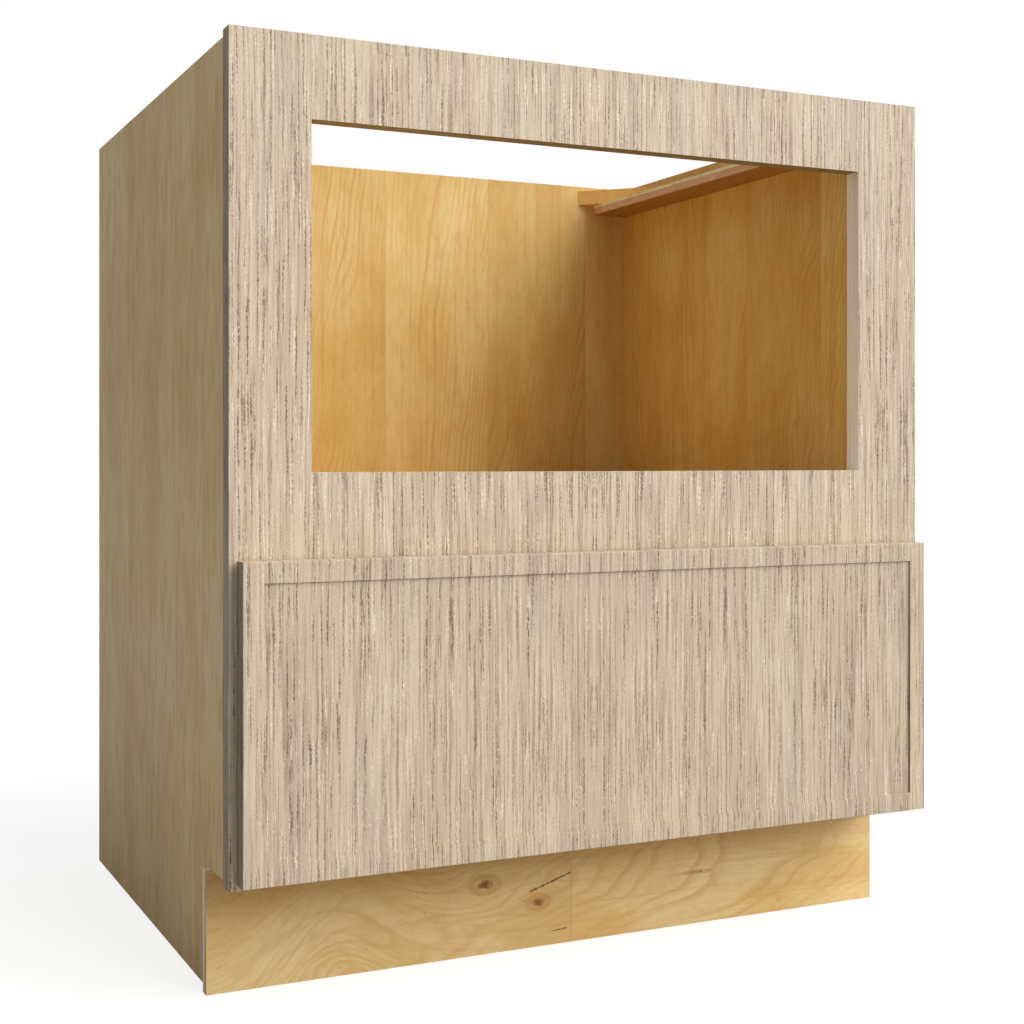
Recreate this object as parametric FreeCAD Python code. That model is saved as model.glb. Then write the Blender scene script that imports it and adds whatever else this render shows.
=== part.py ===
import FreeCAD, Part

import math
import os

from FreeCAD import Vector

# Kitchen base cabinet with an open bay for a microwave oven above one wide drawer.
# The origin is on the floor, midway between the sides, and midway between the drawer
# front's face and the rear edges of the side panels. +X is right, +Y rear, +Z up.
# All lengths are in millimetres.

# Overall sizes, with the depth from the face of the front frame to the rear
cabinet_width = 762.0
cabinet_height = 876.3
cabinet_depth = 609.6

# Front frame
frame_thickness = 19.05
frame_overhang = 6.35
stile_width = 76.2
top_rail_height = 76.2
middle_rail_height = 95.25
drawer_opening_height = 234.95
bottom_rail_height = 38.1
dowel_radius = 4.0
dowel_depth = 25.0
dowel_clearance = 0.05
dowel_height_shares = (0.25, 0.75)

# Plywood box
panel_thickness = 12.7
dado_share = 0.5
back_inset = 3.175
shelf_thickness = 19.05
shelf_drop = 6.35
cleat_thickness = 19.05
cleat_height = 38.1
cleat_screw_shares = (0.15, 0.5, 0.85)

# Toe kick
toe_kick_height = 114.3
toe_kick_setback = 76.2
toe_board_thickness = 12.7
toe_rail_thickness = 12.7

# Top bracing, where the worktop is screwed down
strip_width = 50.8
strip_thickness = 12.7
strip_drop = 25.4
corner_brace_leg = 76.2
corner_brace_thickness = 19.05
worktop_hole_radius = 2.5
worktop_hole_inset = 25.4
corner_screw_shares = ((0.16, 0.66), (0.5, 0.16))

# Drawer front
drawer_front_thickness = 19.05
drawer_front_reveal = 6.35
drawer_front_top_lap = 17.8
recess_border = 19.05
recess_depth = 2.2
drawer_front_arris = 0.8
bumper_gap = 3.175
bumper_clearance = 0.3
bumper_radius = 4.5
bumper_inset = 20.0

# Drawer box
box_board_thickness = 12.7
box_height_clearance = 15.875
box_bottom_thickness = 6.35
box_bottom_rise = 12.7
box_groove_share = 0.5
tail_count = 5
tail_root_share = 0.44
tail_end_share = 0.6
front_screw_width_share = 0.62
front_screw_height_shares = (0.3, 0.78)

# Drawer slides: three nested steel channels a side, with two rows of balls between each pair
slide_height = 45.0
slide_thickness = 12.7
slide_setback = 3.175
slide_rear_gap = 31.75
slide_rise_share = 0.4375
channel_steel = 1.2
channel_lip = 1.6
channel_gap = 0.4
race_clearance = 0.1
cabinet_flange_reach = 9.0
middle_flange_reach = 9.0
drawer_flange_reach = 8.6
outer_ball_radius = 2.4
inner_ball_radius = 2.0
ball_pitch = 24.0
cage_length_share = 0.41
cage_thickness = 1.0
cage_wall = 0.7
cage_clearance = 0.05
cabinet_screw_shares = (0.06, 0.35, 0.65, 0.94)
drawer_screw_shares = (0.08, 0.5, 0.92)

# Release lever on each drawer channel
lever_share = 0.28
lever_thickness = 2.0
lever_height = 7.0
lever_front_arm = 34.0
lever_rear_arm = 24.0
lever_pad_length = 12.0
lever_pad_height = 9.0
lever_gap = 0.3
rivet_radius = 1.5
rivet_head_radius = 3.2
rivet_head_thickness = 0.8
rivet_clearance = 0.06

# Boards and blocks that carry the slides
runner_board_thickness = 19.05
runner_board_height = 101.6
spacer_block_length = 88.9
runner_screw_height_share = 0.36
spacer_screw_run_share = 0.28

# Flat-head wood screws
screw_radius = 2.1
screw_head_radius = 4.0
screw_head_depth = 2.6
screw_clearance = 0.05
screw_bite_share = 0.72
screw_cross_width = 0.9
screw_cross_length = 4.4
screw_cross_depth = 1.1

# How far a cutting body runs past the face that it cuts
overrun = 1.0

# Places across the cabinet
half_width = cabinet_width / 2
side_outer_x = half_width - frame_overhang
side_inner_x = side_outer_x - panel_thickness
opening_x = half_width - stile_width
dado_depth = panel_thickness * dado_share

# Places from front to back
drawer_front_proud = drawer_front_thickness + bumper_gap
overall_depth = cabinet_depth + drawer_front_proud
drawer_face_y = -overall_depth / 2
rear_y = overall_depth / 2
drawer_front_back_y = drawer_face_y + drawer_front_thickness
frame_face_y = drawer_face_y + drawer_front_proud
frame_back_y = frame_face_y + frame_thickness
frame_middle_y = frame_face_y + frame_thickness / 2
back_rear_y = rear_y - back_inset
back_front_y = back_rear_y - panel_thickness
toe_board_front_y = frame_face_y + toe_kick_setback
toe_board_back_y = toe_board_front_y + toe_board_thickness
toe_rail_back_y = toe_board_back_y + toe_rail_thickness

# Heights above the floor
top_rail_z = cabinet_height - top_rail_height
bottom_rail_top_z = toe_kick_height + bottom_rail_height
middle_rail_z = bottom_rail_top_z + drawer_opening_height
middle_rail_top_z = middle_rail_z + middle_rail_height
bottom_panel_top_z = toe_kick_height + panel_thickness
shelf_top_z = middle_rail_top_z - shelf_drop
shelf_z = shelf_top_z - shelf_thickness
cleat_z = shelf_z - cleat_height
strip_top_z = cabinet_height - strip_drop
strip_z = strip_top_z - strip_thickness
corner_brace_top_z = strip_top_z + corner_brace_thickness

# Slide and drawer box places
slide_front_y = frame_face_y + slide_setback
slide_length = back_front_y - slide_rear_gap - slide_front_y
box_x = opening_x - slide_thickness
box_inner_x = box_x - box_board_thickness
box_z = bottom_rail_top_z + box_height_clearance
box_top_z = middle_rail_z - box_height_clearance
box_height = box_top_z - box_z
box_rear_y = drawer_front_back_y + slide_length
box_inner_front_y = drawer_front_back_y + box_board_thickness
box_inner_rear_y = box_rear_y - box_board_thickness
box_groove = box_board_thickness * box_groove_share
box_bottom_z = box_z + box_bottom_rise

# Drawer front places
drawer_front_x = half_width - drawer_front_reveal
drawer_front_z = toe_kick_height + drawer_front_reveal
drawer_front_top_z = middle_rail_z + drawer_front_top_lap

# Places within a slide: out is the distance from the opening's edge towards the drawer,
# and up is the distance above the middle line of the slide
slide_z = box_z + box_height * slide_rise_share
cabinet_half = slide_height / 2
outer_ball_up = cabinet_half - channel_steel - race_clearance - outer_ball_radius
middle_half = outer_ball_up - outer_ball_radius - race_clearance
inner_ball_up = middle_half - channel_steel - race_clearance - inner_ball_radius
drawer_half = inner_ball_up - inner_ball_radius - race_clearance
middle_web_out = channel_steel + channel_gap
middle_free_out = middle_web_out + middle_flange_reach
drawer_free_out = slide_thickness - drawer_flange_reach
outer_cage_width = (outer_ball_radius + cage_clearance + cage_wall) * 2
inner_cage_width = (inner_ball_radius + cage_clearance + cage_wall) * 2
outer_ball_out = channel_steel + channel_gap + outer_cage_width / 2
inner_ball_out = middle_web_out + channel_steel + channel_gap + inner_cage_width / 2
lever_y = slide_front_y + slide_length * lever_share
lever_far_out = slide_thickness - channel_steel - lever_gap
lever_near_out = lever_far_out - lever_thickness
rivet_head_out = lever_near_out - lever_gap


# Helpers

def board(x_span, y_span, z_span):
    """A rectangular board between three pairs of faces, given low side first."""
    low = Vector(x_span[0], y_span[0], z_span[0])
    size = [span[1] - span[0] for span in (x_span, y_span, z_span)]
    return Part.makeBox(size[0], size[1], size[2], low)


def across(side, near_x, far_x):
    """The span between two distances from the middle, on the left (-1) or right (1) side."""
    return sorted((side * near_x, side * far_x))


def prism(points, push):
    """A solid from a closed outline of points, pushed along a vector."""
    face = Part.Face(Part.makePolygon(points + points[:1]))
    return face.extrude(push)


def rod(start, direction, radius, length):
    """A round rod that begins at a point and runs along a direction."""
    return Part.makeCylinder(radius, length, start, direction)


def screw(head, direction, length, grow=0.0):
    """A flat-head screw with its head flush at a point. A grown one is its hole, with no cross."""
    head_radius = screw_head_radius + grow
    shank_radius = screw_radius + grow
    neck = Part.makeCone(head_radius, shank_radius, screw_head_depth, head, direction)
    shank = rod(head, direction, shank_radius, length + grow)
    body = neck.fuse(shank).removeSplitter()
    if grow:
        return body
    turn = FreeCAD.Rotation(Vector(0, 0, 1), direction)
    cross = (screw_cross_width, screw_cross_length)
    for width, height in (cross, cross[::-1]):
        low = Vector(-width / 2, -height / 2, -screw_cross_depth)
        slot = Part.makeBox(width, height, screw_cross_depth * 2, low)
        slot.Placement = FreeCAD.Placement(head, turn).multiply(slot.Placement)
        body = body.cut(slot)
    return body


def drilled(piece, places, length, grow=screw_clearance):
    """The piece with a clearance hole for each screw, given as a head point and a direction."""
    for head, direction in places:
        piece = piece.cut(screw(head, direction, length, grow))
    return piece


def screw_set(places, length):
    """Screws of one length, as one group of separate solids."""
    return Part.makeCompound([screw(head, direction, length) for head, direction in places])


# Screw places, which the pieces that they join share

def corner_point(side, wall_y, inward, from_side, from_wall, height):
    """A point in a corner of the top, measured from the side panel and from the frame or the back."""
    return Vector(side * (side_inner_x - from_side), wall_y + inward * from_wall, height)


corners = {
    "front_left": (-1, frame_back_y, 1),
    "front_right": (1, frame_back_y, 1),
    "rear_left": (-1, back_front_y, -1),
    "rear_right": (1, back_front_y, -1),
}
down = Vector(0, 0, -1)
corner_screw_length = corner_brace_thickness + strip_thickness * screw_bite_share
corner_screw_places = [[corner_brace_leg * share for share in pair] for pair in corner_screw_shares]
corner_screws = [
    (corner_point(*corner, *place, corner_brace_top_z), down)
    for corner in corners.values()
    for place in corner_screw_places
]

cleat_screw_length = cleat_thickness + panel_thickness * screw_bite_share
cleat_screw_z = cleat_z + cleat_height / 2
cleat_run = back_front_y - frame_back_y
rear_cleat_x = side_inner_x - cleat_thickness
side_cleat_screws = [
    (Vector(side * rear_cleat_x, frame_back_y + cleat_run * share, cleat_screw_z), Vector(side, 0, 0))
    for side in (-1, 1)
    for share in cleat_screw_shares
]
rear_cleat_screws = [
    (Vector(rear_cleat_x * (2 * share - 1), back_front_y - cleat_thickness, cleat_screw_z), Vector(0, 1, 0))
    for share in cleat_screw_shares
]

spacer_x = opening_x + runner_board_thickness
spacer_spans = (
    (frame_back_y, frame_back_y + spacer_block_length),
    (back_front_y - spacer_block_length, back_front_y),
)
spacer_depth = side_inner_x - spacer_x
runner_screw_length = runner_board_thickness + spacer_depth * screw_bite_share
runner_screw_rise = runner_board_height * runner_screw_height_share
runner_screws = [
    (Vector(side * opening_x, sum(span) / 2, slide_z + up * runner_screw_rise), Vector(side, 0, 0))
    for side in (-1, 1)
    for span in spacer_spans
    for up in (-1, 1)
]
spacer_screw_length = spacer_depth + panel_thickness * screw_bite_share
spacer_screw_run = spacer_block_length * spacer_screw_run_share
spacer_screws = [
    (Vector(side * spacer_x, sum(span) / 2 + along * spacer_screw_run, slide_z), Vector(side, 0, 0))
    for side in (-1, 1)
    for span in spacer_spans
    for along in (-1, 1)
]

cabinet_channel_screw_length = channel_steel + runner_board_thickness * screw_bite_share
cabinet_screw_x = opening_x - channel_steel
cabinet_channel_screws = [
    (Vector(side * cabinet_screw_x, slide_front_y + slide_length * share, slide_z), Vector(side, 0, 0))
    for side in (-1, 1)
    for share in cabinet_screw_shares
]
drawer_channel_screw_length = channel_steel + box_board_thickness * screw_bite_share
drawer_screw_x = box_x + channel_steel
drawer_channel_screws = [
    (Vector(side * drawer_screw_x, slide_front_y + slide_length * share, slide_z), Vector(-side, 0, 0))
    for side in (-1, 1)
    for share in drawer_screw_shares
]
front_screw_length = box_board_thickness + (drawer_front_thickness - recess_depth) * screw_bite_share
front_screw_x = box_x * front_screw_width_share
front_screws = [
    (Vector(side * front_screw_x, box_inner_front_y, box_z + box_height * share), Vector(0, -1, 0))
    for side in (-1, 1)
    for share in front_screw_height_shares
]


# Front frame

rails = {
    "top_rail": (top_rail_z, cabinet_height),
    "middle_rail": (middle_rail_z, middle_rail_top_z),
    "bottom_rail": (toe_kick_height, bottom_rail_top_z),
}


def frame_dowels(grow=0.0):
    """Two glued dowels across each joint between a rail and a stile."""
    dowels = []
    length = (dowel_depth + grow) * 2
    for low, high in rails.values():
        for share in dowel_height_shares:
            for side in (-1, 1):
                start = Vector(side * opening_x - length / 2, frame_middle_y, low + (high - low) * share)
                dowels.append(rod(start, Vector(1, 0, 0), dowel_radius + grow, length))
    return Part.makeCompound(dowels)


def stile(side):
    """An upright of the frame, which stands a little outside the side panel."""
    span = across(side, opening_x, half_width)
    upright = board(span, (frame_face_y, frame_back_y), (toe_kick_height, cabinet_height))
    return upright.cut(frame_dowels(dowel_clearance))


def rail(name):
    """A cross piece of the frame between the stiles."""
    piece = board((-opening_x, opening_x), (frame_face_y, frame_back_y), rails[name])
    return piece.cut(frame_dowels(dowel_clearance))


# Plywood box

def back_panel():
    """The back, let into grooves in the side panels."""
    reach = side_inner_x + dado_depth
    panel = board((-reach, reach), (back_front_y, back_rear_y), (toe_kick_height, cabinet_height))
    return drilled(panel, rear_cleat_screws, cleat_screw_length)


def bottom_panel():
    """The floor of the cabinet, let into the side panels."""
    reach = side_inner_x + dado_depth
    return board((-reach, reach), (frame_back_y, back_front_y), (toe_kick_height, bottom_panel_top_z))


def microwave_shelf():
    """The shelf that carries the microwave oven, just below the edge of the middle rail."""
    return board((-side_inner_x, side_inner_x), (frame_back_y, back_front_y), (shelf_z, shelf_top_z))


def top_strip(side):
    """A plywood strip along the top of a side panel, drilled for the worktop's screws."""
    span = across(side, side_inner_x - strip_width, side_inner_x + dado_depth)
    strip = board(span, (frame_back_y, back_front_y), (strip_z, strip_top_z))
    strip = strip.cut(worktop_holes())
    return drilled(strip, corner_screws, corner_screw_length)


def side_panel(side):
    """A side with its toe notch and its grooves for the bottom, the back and the top strip."""
    outline = [
        Vector(0, toe_board_back_y, 0),
        Vector(0, rear_y, 0),
        Vector(0, rear_y, cabinet_height),
        Vector(0, frame_back_y, cabinet_height),
        Vector(0, frame_back_y, toe_kick_height),
        Vector(0, toe_board_back_y, toe_kick_height),
    ]
    low_x = across(side, side_inner_x, side_outer_x)[0]
    panel = prism(outline, Vector(panel_thickness, 0, 0))
    panel.translate(Vector(low_x, 0, 0))
    reach = side_inner_x + dado_depth
    back_groove_z = (toe_kick_height, cabinet_height + overrun)
    panel = panel.cut(board((-reach, reach), (back_front_y, back_rear_y), back_groove_z))
    panel = panel.cut(bottom_panel())
    panel = panel.cut(board((-reach, reach), (frame_back_y, back_front_y), (strip_z, strip_top_z)))
    panel = drilled(panel, side_cleat_screws, cleat_screw_length)
    return drilled(panel, spacer_screws, spacer_screw_length)


def side_cleat(side):
    """A cleat that carries one end of the shelf."""
    span = across(side, side_inner_x - cleat_thickness, side_inner_x)
    cleat = board(span, (frame_back_y, back_front_y), (cleat_z, shelf_z))
    return drilled(cleat, side_cleat_screws, cleat_screw_length)


def rear_cleat():
    """A cleat that carries the rear edge of the shelf, between the side cleats."""
    span = (back_front_y - cleat_thickness, back_front_y)
    cleat = board((-rear_cleat_x, rear_cleat_x), span, (cleat_z, shelf_z))
    return drilled(cleat, rear_cleat_screws, cleat_screw_length)


# Top bracing

def worktop_holes():
    """The four upright holes for the screws that hold the worktop."""
    drop = corner_brace_thickness + strip_thickness + overrun * 2
    holes = []
    for corner in corners.values():
        start = corner_point(*corner, worktop_hole_inset, worktop_hole_inset, corner_brace_top_z + overrun)
        holes.append(rod(start, down, worktop_hole_radius, drop))
    return Part.makeCompound(holes)


def corner_brace(name):
    """A three-cornered block on a strip, square into its corner of the cabinet."""
    corner = corners[name]
    outline = [
        corner_point(*corner, 0, 0, strip_top_z),
        corner_point(*corner, corner_brace_leg, 0, strip_top_z),
        corner_point(*corner, 0, corner_brace_leg, strip_top_z),
    ]
    brace = prism(outline, Vector(0, 0, corner_brace_thickness)).cut(worktop_holes())
    return drilled(brace, corner_screws, corner_screw_length)


# Toe kick

def toe_kick_board():
    """The finished board across the front, over the front edges of the side panels."""
    return board((-half_width, half_width), (toe_board_front_y, toe_board_back_y), (0, toe_kick_height))


def toe_kick_rail():
    """The rail between the side panels that backs the finished board."""
    return board((-side_inner_x, side_inner_x), (toe_board_back_y, toe_rail_back_y), (0, toe_kick_height))


# Boards and blocks that carry the slides

runner_z = slide_z - runner_board_height / 2
runner_top_z = slide_z + runner_board_height / 2


def runner_board(side):
    """A board level with the edge of the drawer opening, to which the slide is screwed."""
    span = across(side, opening_x, spacer_x)
    piece = board(span, (frame_back_y, back_front_y), (runner_z, runner_top_z))
    piece = drilled(piece, runner_screws, runner_screw_length)
    return drilled(piece, cabinet_channel_screws, cabinet_channel_screw_length)


def spacer_block(side, end):
    """A block between the runner board and the side panel, at the front (0) or the rear (1)."""
    block = board(across(side, spacer_x, side_inner_x), spacer_spans[end], (runner_z, runner_top_z))
    block = drilled(block, runner_screws, runner_screw_length)
    return drilled(block, spacer_screws, spacer_screw_length)


# Drawer slides

def slide_point(side, out, up, y):
    """A point of a slide on the left (-1) or right (1) side of the drawer."""
    return Vector(side * (opening_x - out), y, slide_z + up)


def channel(side, web, free, half):
    """A steel channel with a web, two flanges and their turned-in lips."""
    steel = math.copysign(channel_steel, free - web)
    upper = [
        (web, half),
        (free, half),
        (free, half - channel_steel - channel_lip),
        (free - steel, half - channel_steel - channel_lip),
        (free - steel, half - channel_steel),
        (web + steel, half - channel_steel),
    ]
    lower = [(out, -up) for out, up in reversed(upper)]
    points = [slide_point(side, out, up, slide_front_y) for out, up in upper + lower]
    return prism(points, Vector(0, slide_length, 0))


def cabinet_channel(side):
    """The channel fixed to the cabinet."""
    piece = channel(side, 0, cabinet_flange_reach, cabinet_half)
    return drilled(piece, cabinet_channel_screws, cabinet_channel_screw_length)


def middle_channel(side):
    """The channel that travels half as far as the drawer."""
    return channel(side, middle_web_out, middle_free_out, middle_half)


def drawer_channel(side):
    """The channel fixed to the drawer, with the hole for its lever's rivet."""
    piece = channel(side, slide_thickness, drawer_free_out, drawer_half)
    piece = drilled(piece, drawer_channel_screws, drawer_channel_screw_length)
    start = slide_point(side, slide_thickness + overrun, 0, lever_y)
    hole_radius = rivet_radius + screw_clearance
    return piece.cut(rod(start, Vector(side, 0, 0), hole_radius, channel_steel + overrun * 2))


cage_length = slide_length * cage_length_share
ball_count = int(cage_length / ball_pitch)
first_ball_y = slide_front_y + (slide_length - ball_pitch * (ball_count - 1)) / 2
cage_y = slide_front_y + (slide_length - cage_length) / 2


def balls(side, out, up, radius):
    """The upper and lower rows of balls between two channels."""
    rows = []
    for row in (-1, 1):
        for number in range(ball_count):
            centre = slide_point(side, out, row * up, first_ball_y + number * ball_pitch)
            rows.append(Part.makeSphere(radius, centre))
    return Part.makeCompound(rows)


def ball_cage(side, out, up, radius, width):
    """The upper and lower strips that keep the balls apart."""
    strips = []
    for row in (-1, 1):
        edges = [slide_point(side, out + edge * width / 2, row * up, cage_y) for edge in (-1, 1)]
        span_x = sorted(edge.x for edge in edges)
        middle_z = edges[0].z
        span_z = (middle_z - cage_thickness / 2, middle_z + cage_thickness / 2)
        strip = board(span_x, (cage_y, cage_y + cage_length), span_z)
        for number in range(ball_count):
            start = slide_point(side, out, row * up, first_ball_y + number * ball_pitch)
            start.z = span_z[0] - overrun
            drop = cage_thickness + overrun * 2
            pocket = rod(start, Vector(0, 0, 1), radius + cage_clearance, drop)
            strip = strip.cut(pocket)
        strips.append(strip)
    return Part.makeCompound(strips)


def release_lever(side):
    """A lever on the drawer channel that frees the drawer from its slide."""
    span = across(side, opening_x - lever_near_out, opening_x - lever_far_out)
    width = span[1] - span[0]
    half = lever_height / 2
    front_y = lever_y - lever_front_arm
    end_y = lever_y + lever_rear_arm
    along_x = Vector(1, 0, 0)
    arm = board(span, (front_y, end_y), (slide_z - half, slide_z + half))
    end = rod(Vector(span[0], end_y, slide_z), along_x, half, width)
    pad_half = lever_pad_height / 2
    pad_span = (front_y - lever_pad_length / 2, front_y + lever_pad_length / 2)
    pad = board(span, pad_span, (slide_z - pad_half, slide_z + pad_half))
    lever = arm.fuse([end, pad]).removeSplitter()
    start = Vector(span[0] - overrun, lever_y, slide_z)
    return lever.cut(rod(start, along_x, rivet_radius + rivet_clearance, width + overrun * 2))


def lever_rivet(side):
    """The rivet on which a release lever turns."""
    start = slide_point(side, slide_thickness, 0, lever_y)
    shank = rod(start, Vector(side, 0, 0), rivet_radius, slide_thickness - rivet_head_out)
    head_start = slide_point(side, rivet_head_out, 0, lever_y)
    head = rod(head_start, Vector(side, 0, 0), rivet_head_radius, rivet_head_thickness)
    return shank.fuse(head).removeSplitter()


# Drawer box, dovetailed at its four corners

def box_bottom_panel():
    """The thin bottom, let into the four boards."""
    reach_x = box_inner_x + box_groove
    span_y = (box_inner_front_y - box_groove, box_inner_rear_y + box_groove)
    return board((-reach_x, reach_x), span_y, (box_bottom_z, box_bottom_z + box_bottom_thickness))


def tails(side, root_y, end_y):
    """The row of dovetails at one end of a drawer side."""
    pitch = box_height / tail_count
    low_x = across(side, box_inner_x, box_x)[0]
    row = []
    for number in range(tail_count):
        middle = box_z + pitch * (number + 1 / 2)
        root = pitch * tail_root_share / 2
        end = pitch * tail_end_share / 2
        outline = [
            Vector(low_x, root_y, middle - root),
            Vector(low_x, end_y, middle - end),
            Vector(low_x, end_y, middle + end),
            Vector(low_x, root_y, middle + root),
        ]
        row.append(prism(outline, Vector(box_board_thickness, 0, 0)))
    return row


def all_tails():
    """Every dovetail of the drawer box."""
    row = []
    for side in (-1, 1):
        row += tails(side, box_inner_front_y, drawer_front_back_y)
        row += tails(side, box_inner_rear_y, box_rear_y)
    return row


def drawer_side(side):
    """A side of the drawer box with a row of tails at each end."""
    plate = board(across(side, box_inner_x, box_x), (box_inner_front_y, box_inner_rear_y), (box_z, box_top_z))
    ends = tails(side, box_inner_front_y, drawer_front_back_y)
    ends += tails(side, box_inner_rear_y, box_rear_y)
    piece = plate.fuse(ends).removeSplitter().cut(box_bottom_panel())
    return drilled(piece, drawer_channel_screws, drawer_channel_screw_length)


def drawer_cross_board(span_y):
    """The front or back board of the drawer box, with sockets for the tails."""
    plate = board((-box_x, box_x), span_y, (box_z, box_top_z))
    return plate.cut(all_tails()).cut(box_bottom_panel())


def drawer_box_front():
    """The front board of the drawer box, drilled for the screws that hold the drawer front."""
    piece = drawer_cross_board((drawer_front_back_y, box_inner_front_y))
    return drilled(piece, front_screws, front_screw_length)


def drawer_box_back():
    """The back board of the drawer box."""
    return drawer_cross_board((box_inner_rear_y, box_rear_y))


def drawer_front():
    """The drawer's show front, a slab with a shallow sunk field and no handle."""
    slab = board((-drawer_front_x, drawer_front_x), (drawer_face_y, drawer_front_back_y),
                 (drawer_front_z, drawer_front_top_z))
    rim = [edge for edge in slab.Edges if edge.BoundBox.YMax < drawer_face_y + recess_depth]
    slab = slab.makeFillet(drawer_front_arris, rim)
    field_x = drawer_front_x - recess_border
    field = board((-field_x, field_x), (drawer_face_y - overrun, drawer_face_y + recess_depth),
                  (drawer_front_z + recess_border, drawer_front_top_z - recess_border))
    return drilled(slab.cut(field), front_screws, front_screw_length)


def drawer_bumpers():
    """Soft pads on the back of the drawer front, which close against the stiles."""
    pads = []
    for side in (-1, 1):
        for height in (drawer_front_z + bumper_inset, drawer_front_top_z - bumper_inset):
            start = Vector(side * (drawer_front_x - bumper_inset), drawer_front_back_y, height)
            pads.append(rod(start, Vector(0, 1, 0), bumper_radius, bumper_gap - bumper_clearance))
    return Part.makeCompound(pads)


# All pieces by name

outer_row = (outer_ball_out, outer_ball_up, outer_ball_radius)
inner_row = (inner_ball_out, inner_ball_up, inner_ball_radius)
nodes = {
    "left_stile": stile(-1),
    "right_stile": stile(1),
    "frame_dowels": frame_dowels(),
    "back_panel": back_panel(),
    "bottom_panel": bottom_panel(),
    "microwave_shelf": microwave_shelf(),
    "rear_shelf_cleat": rear_cleat(),
    "shelf_cleat_screws": screw_set(side_cleat_screws + rear_cleat_screws, cleat_screw_length),
    "corner_brace_screws": screw_set(corner_screws, corner_screw_length),
    "toe_kick_board": toe_kick_board(),
    "toe_kick_rail": toe_kick_rail(),
    "runner_board_screws": screw_set(runner_screws, runner_screw_length),
    "spacer_block_screws": screw_set(spacer_screws, spacer_screw_length),
    "cabinet_channel_screws": screw_set(cabinet_channel_screws, cabinet_channel_screw_length),
    "drawer_channel_screws": screw_set(drawer_channel_screws, drawer_channel_screw_length),
    "lever_rivets": Part.makeCompound([lever_rivet(side) for side in (-1, 1)]),
    "drawer_box_front": drawer_box_front(),
    "drawer_box_back": drawer_box_back(),
    "drawer_box_bottom": box_bottom_panel(),
    "drawer_front": drawer_front(),
    "drawer_front_screws": screw_set(front_screws, front_screw_length),
    "drawer_bumpers": drawer_bumpers(),
}
for name in rails:
    nodes[name] = rail(name)
for name in corners:
    nodes[name + "_corner_brace"] = corner_brace(name)
for hand, side in (("left", -1), ("right", 1)):
    nodes[hand + "_side_panel"] = side_panel(side)
    nodes[hand + "_top_strip"] = top_strip(side)
    nodes[hand + "_shelf_cleat"] = side_cleat(side)
    nodes[hand + "_runner_board"] = runner_board(side)
    nodes[hand + "_front_spacer_block"] = spacer_block(side, 0)
    nodes[hand + "_rear_spacer_block"] = spacer_block(side, 1)
    nodes[hand + "_cabinet_channel"] = cabinet_channel(side)
    nodes[hand + "_middle_channel"] = middle_channel(side)
    nodes[hand + "_drawer_channel"] = drawer_channel(side)
    nodes[hand + "_outer_balls"] = balls(side, *outer_row)
    nodes[hand + "_inner_balls"] = balls(side, *inner_row)
    nodes[hand + "_outer_ball_cage"] = ball_cage(side, *outer_row, outer_cage_width)
    nodes[hand + "_inner_ball_cage"] = ball_cage(side, *inner_row, inner_cage_width)
    nodes[hand + "_release_lever"] = release_lever(side)
    nodes["drawer_" + hand + "_side"] = drawer_side(side)

os.makedirs("parts", exist_ok=True)
for name, shape in nodes.items():
    shape.exportStep("parts/" + name + ".step")
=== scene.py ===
import math

import bpy
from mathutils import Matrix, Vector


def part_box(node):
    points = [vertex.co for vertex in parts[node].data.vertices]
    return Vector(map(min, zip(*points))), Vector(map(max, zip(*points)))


# Looks for the kitchen base cabinet: a streaked laminate front, maple plywood inside and
# out, and zinc-plated slides. Lengths are in metres. The cabinet's origin is on the floor
# at the middle of its footprint, with +X right, +Y to the rear and +Z up.

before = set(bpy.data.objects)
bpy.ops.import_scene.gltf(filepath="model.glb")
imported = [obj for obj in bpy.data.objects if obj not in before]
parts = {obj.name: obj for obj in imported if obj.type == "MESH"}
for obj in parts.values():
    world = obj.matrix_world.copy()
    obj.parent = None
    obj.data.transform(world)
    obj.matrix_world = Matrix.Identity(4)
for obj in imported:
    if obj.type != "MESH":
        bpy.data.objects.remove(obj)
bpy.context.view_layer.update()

X, Y, Z = 0, 1, 2


# Colours

def paint(red, green, blue):
    """A colour as it looks on a screen, from 0 to 255 a channel, made linear for the shader."""
    channels = [level / 255 for level in (red, green, blue)]
    return tuple(
        level / 12.92 if level <= 0.04045 else ((level + 0.055) / 1.055) ** 2.4
        for level in channels
    ) + (1.0,)


laminate_cream = paint(228, 210, 182)
laminate_sand = paint(211, 191, 162)
laminate_rose = paint(211, 185, 161)
laminate_grey = paint(200, 181, 163)
laminate_pore = paint(123, 101, 77)
laminate_red_pore = paint(135, 103, 81)
laminate_brown = paint(184, 158, 134)
laminate_white_line = paint(248, 234, 212)
edge_band_light = paint(250, 244, 236)
frame_edge_shade = paint(195, 192, 192)
drawer_edge_shade = paint(170, 169, 161)
# Painted shade for the frame's edges that face down
frame_underside_painted_shade = paint(136, 112, 74)
frame_tone = paint(255, 255, 253)
drawer_tone = paint(247, 246, 244)
backer_tan = paint(205, 182, 146)

honey_maple = paint(230, 197, 120)
honey_grain = paint(208, 152, 74)
honey_light = paint(238, 212, 148)
# A darker copy of the honey maple, painted shade for the undersides of the top strips
strip_painted_shade_maple = paint(186, 140, 72)
strip_painted_shade_grain = paint(164, 112, 54)
strip_painted_shade_patch = paint(196, 152, 86)
brace_maple = paint(250, 204, 124)
brace_grain = paint(240, 186, 104)
brace_light = paint(252, 212, 138)
pale_maple = paint(234, 205, 151)
pale_grain = paint(214, 178, 119)
pale_light = paint(240, 215, 165)
toe_maple = paint(240, 207, 143)
toe_grain = paint(216, 160, 84)
toe_light = paint(245, 219, 164)
drawer_maple = paint(226, 198, 150)
drawer_grain = paint(206, 168, 116)
drawer_light = paint(236, 214, 174)

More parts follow.
